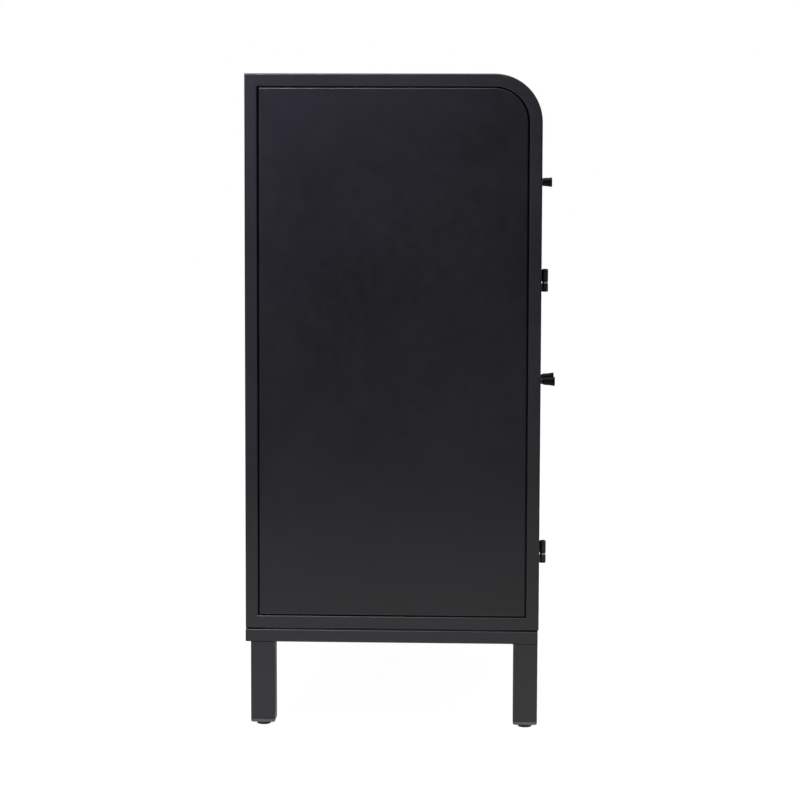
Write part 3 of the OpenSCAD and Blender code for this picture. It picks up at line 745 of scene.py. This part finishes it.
def screws(node, body, places):
    """Screws that face the rear, in the place of a CAD node that holds all of them. places are
    each head's X and Z."""
    lo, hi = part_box(node)
    head_y = hi.y - HEAD_HEIGHT
    bm = bmesh.new()
    for i, (x, z) in enumerate(places):
        screw(bm, (x, head_y, z), (0, 1, 0), head_y - lo.y, SCREW_TURN_FIRST + SCREW_TURN_STEP * i)
    dress(from_bmesh(node + "_threaded", bm), body, "zinc_steel", [node], 40.0)


for label, side in SIDES:
    for body in (f"{label}_door", f"{label}_drawer"):
        node = f"{body}_knob"
        dress(knob_mesh(node), body, "knob_black", [node])
        node = f"{body}_knob_screw"
        lo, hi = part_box(node)
        screws(node, body, [((lo.x + hi.x) / 2, (lo.z + hi.z) / 2)])
    node = f"{label}_door_knob_spacer"
    dress(spacer_mesh(node), f"{label}_door", "black_frame", [node])


def panel_screws(node, count=5):
    """A column of screws down each side of the back panel."""
    lo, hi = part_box(node)
    z0, z1 = lo.z + HEAD_RADIUS, hi.z - HEAD_RADIUS
    screws(node, "carcass", [(x, z0 + (z1 - z0) * i / (count - 1))
                             for x in (lo.x + HEAD_RADIUS, hi.x - HEAD_RADIUS)
                             for i in range(count)])


panel_screws("panel_screws")


LEGS = [(label, side, end) for end in ("front", "rear") for label, side in SIDES]
LEG_HALF = 19 * MM
LEG_CORNER = 3 * MM
FOOT_RADIUS = 11 * MM
FOOT_HEIGHT = 5.5 * MM
FOOT_RIBS = 24
FOOT_RIB_DEPTH = 0.035
STEM_CREST = 4.0 * MM
STEM_ROOT = 3.45 * MM
STEM_PITCH = 1.25 * MM
CAP_RIM = 5 * MM
CAP_SOFT = 2.6 * MM
CAP_WALL = 1.3 * MM


def leg_places():
    for label, _, end in LEGS:
        lo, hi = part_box(f"leg_{end}_{label}")
        yield (lo.x + hi.x) / 2, (lo.y + hi.y) / 2


def feet(node):
    """Round feet with grip ribs, each on its threaded stem."""
    stem_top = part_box(node)[1].z
    pad, base = FOOT_RADIUS, FOOT_HEIGHT

    def ribs(a, z):
        grip = 0.0 if z < 1.0 * MM or z > base - 0.9 * MM else FOOT_RIB_DEPTH
        return 1 - grip * max(0.0, math.cos(FOOT_RIBS * a)) ** 3

    bm = bmesh.new()
    for x, y in leg_places():
        chain = [(0, 0.4 * MM), (pad - 3.5 * MM, 0.4 * MM), (pad - 2.6 * MM, 0.0),
                 (pad - 1.0 * MM, 0.0), (pad, 1.0 * MM), (pad, 2.4 * MM), (pad, base - 0.8 * MM),
                 (pad - 0.9 * MM, base), (STEM_CREST, base)]
        lathe(bm, rounded(chain, 0.3 * MM, 2), Matrix.Translation((x, y, 0)), 144, ribs)
        stem = [(STEM_CREST, base)]
        for i in range(int((stem_top - base) / STEM_PITCH)):
            z = base + i * STEM_PITCH
            stem += [(STEM_ROOT, z + 0.1 * STEM_PITCH), (STEM_CREST, z + 0.5 * STEM_PITCH)]
        stem += [(3.2 * MM, stem_top), (0, stem_top)]
        lathe(bm, stem, Matrix.Translation((x, y, 0)), 32)
    bmesh.ops.recalc_face_normals(bm, faces=bm.faces)
    dress(from_bmesh(node + "_ribbed", bm), "carcass", "black_plastic", [node], 38.0)


def end_caps(node):
    """Moulded caps with a soft lower edge, plugged into the legs."""
    lo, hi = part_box(node)
    height, half = hi.z - lo.z, LEG_HALF
    soft = [(CAP_SOFT * (1 - math.sin(a)), CAP_SOFT * (1 - math.cos(a)))
            for a in (math.radians(15 * i) for i in range(7))]
    profile = [(7 * MM, 0.6 * MM), (4.2 * MM, 0.0)] + soft
    profile += [(0.0, CAP_RIM - 0.3 * MM), (0.3 * MM, CAP_RIM), (CAP_WALL, CAP_RIM),
                (CAP_WALL, height - MM), (2 * CAP_WALL, height)]
    bm = bmesh.new()
    for x, y in leg_places():
        rings = loft(bm, lambda u, v, d: (x + u, y + v, lo.z + d), (-half, -half), (half, half),
                     (LEG_CORNER,) * 4, profile, (6, 6, 6, 6))
        bm.faces.new(rings[0])
        bm.faces.new(rings[-1])
    bmesh.ops.recalc_face_normals(bm, faces=bm.faces)
    dress(from_bmesh(node + "_moulded", bm), "carcass", "grey_plastic", [node])


feet("levelling_feet")
end_caps("leg_end_caps")


# ---- Welds ----

TUBE = 20 * MM
PIN_RADIUS = 3 * MM
FIXED_KNUCKLE = 13 * MM
DOOR_KNUCKLE = 20 * MM
# Beads' radii, how far they sink into the steel, and how far they stop short of an end
HINGE_BEAD, LEG_BEAD, CORNER_BEAD = 1.0 * MM, 1.1 * MM, 0.9 * MM
SINK = 0.2 * MM
HINGE_SINK = 0.3 * MM
HINGE_SHORT = 2 * MM
LEG_SHORT = 2.6 * MM
CORNER_SHORT = 3 * MM
CORNER_END = 15 * MM
# Distance of a hinge's bead from the pin's axis
HINGE_BESIDE = 4.6 * MM
# Heights of the faces of the front rails that look into the cabinet's openings
RAIL_FACES = (175.3 * MM, 784.0 * MM, 804.0 * MM, 898.0 * MM)


def dress_welds(name, body, bm):
    dress(from_bmesh(name, bm), body, "black_frame", angle=60.0)


def hinge_welds():
    """Beads beside each knuckle, where its tab meets the post or the door's edge."""
    lo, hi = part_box("fixed_hinge_knuckles")
    pin_lo, pin_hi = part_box("hinge_pins")
    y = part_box("front_rails")[0].y - HINGE_SINK
    for label, side in SIDES:
        door_lo, door_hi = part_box(f"{label}_door_knuckles")
        axis = pin_lo.x + PIN_RADIUS if side < 0 else pin_hi.x - PIN_RADIUS
        door, post = bmesh.new(), bmesh.new()
        x = axis + side * HINGE_BESIDE
        for z in (lo.z, hi.z - FIXED_KNUCKLE):
            weld_bead(post, (x, y, z + HINGE_SHORT), (x, y, z + FIXED_KNUCKLE - HINGE_SHORT),
                      HINGE_BEAD)
        x = axis - side * HINGE_BESIDE
        for z in (door_lo.z, door_hi.z - DOOR_KNUCKLE):
            weld_bead(door, (x, y, z + HINGE_SHORT), (x, y, z + 17.5 * MM), HINGE_BEAD)
        dress_welds(f"{label}_post_hinge_welds", "carcass", post)
        dress_welds(f"{label}_door_hinge_welds", f"{label}_door", door)


def leg_welds():
    """Beads round the top of each leg, under the base frame."""
    bm = bmesh.new()
    for label, side, end in LEGS:
        lo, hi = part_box(f"leg_{end}_{label}")
        z, t = hi.z - SINK, LEG_SHORT
        inner = hi.x if side < 0 else lo.x
        back = hi.y if end == "front" else lo.y
        weld_bead(bm, (inner, lo.y + t, z), (inner, hi.y - t, z), LEG_BEAD)
        weld_bead(bm, (lo.x + t, back, z), (hi.x - t, back, z), LEG_BEAD)
    dress_welds("leg_welds", "carcass", bm)


def corner_welds():
    """Short fillets inside the frame, where the cross rails meet the side frames."""
    bm = bmesh.new()
    lo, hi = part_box("front_rails")
    for x in (lo.x + SINK, hi.x - SINK):
        for z in RAIL_FACES:
            weld_bead(bm, (x, hi.y - CORNER_END, z), (x, hi.y - CORNER_SHORT, z), CORNER_BEAD)
    lo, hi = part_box("rear_rails")
    for x in (lo.x + SINK, hi.x - SINK):
        for z in (hi.z - TUBE, lo.z + TUBE):
            weld_bead(bm, (x, lo.y + CORNER_SHORT, z), (x, lo.y + CORNER_END, z), CORNER_BEAD)
    lo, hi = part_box("base_cross_rails")
    for x in (lo.x + SINK, hi.x - SINK):
        for y in (lo.y + TUBE, hi.y - TUBE):
            weld_bead(bm, (x, y, lo.z + CORNER_SHORT), (x, y, hi.z - CORNER_SHORT), CORNER_BEAD)
    dress_welds("corner_welds", "carcass", bm)


hinge_welds()
leg_welds()
corner_welds()


# ---- CAD parts that stay ----

JOIN_WITHIN = 0.005 * MM
SHARP_ANGLE = 40
THIN_EDGE = 0.35 * MM
# CAD parts that get a rounded edge, and its width
EDGES = {
    "door_catches": 0.8 * MM,
    "drawer_outer_runners": THIN_EDGE,
    "left_drawer_slides": THIN_EDGE,
    "right_drawer_slides": THIN_EDGE,
    "left_door_strike": 0.3 * MM,
    "right_door_strike": 0.3 * MM,
    "drawer_partition": THIN_EDGE,
    "top_brace": THIN_EDGE,
    "panel_ledges": 0.25 * MM,
}


def soften(node, width):
    """Joins a CAD mesh's split edges and rounds them a little."""
    piece = frame["nodes"][node]
    weld = piece.modifiers.new("join", "WELD")
    weld.merge_threshold = JOIN_WITHIN
    bevel = piece.modifiers.new("edge", "BEVEL")
    bevel.width, bevel.segments, bevel.limit_method = width, 3, "ANGLE"
    bevel.angle_limit = math.radians(SHARP_ANGLE)
    bevel.harden_normals = True
    normals = piece.modifiers.new("normals", "WEIGHTED_NORMAL")
    normals.keep_sharp = True


SLOTS = {row["node"]: row["material_slot"] for row in frame["record"]["subparts"]}
for node, piece in frame["nodes"].items():
    piece.data.materials.clear()
    piece.data.materials.append(FINISHES[SLOTS[node]])
for node, width in EDGES.items():
    soften(node, width)
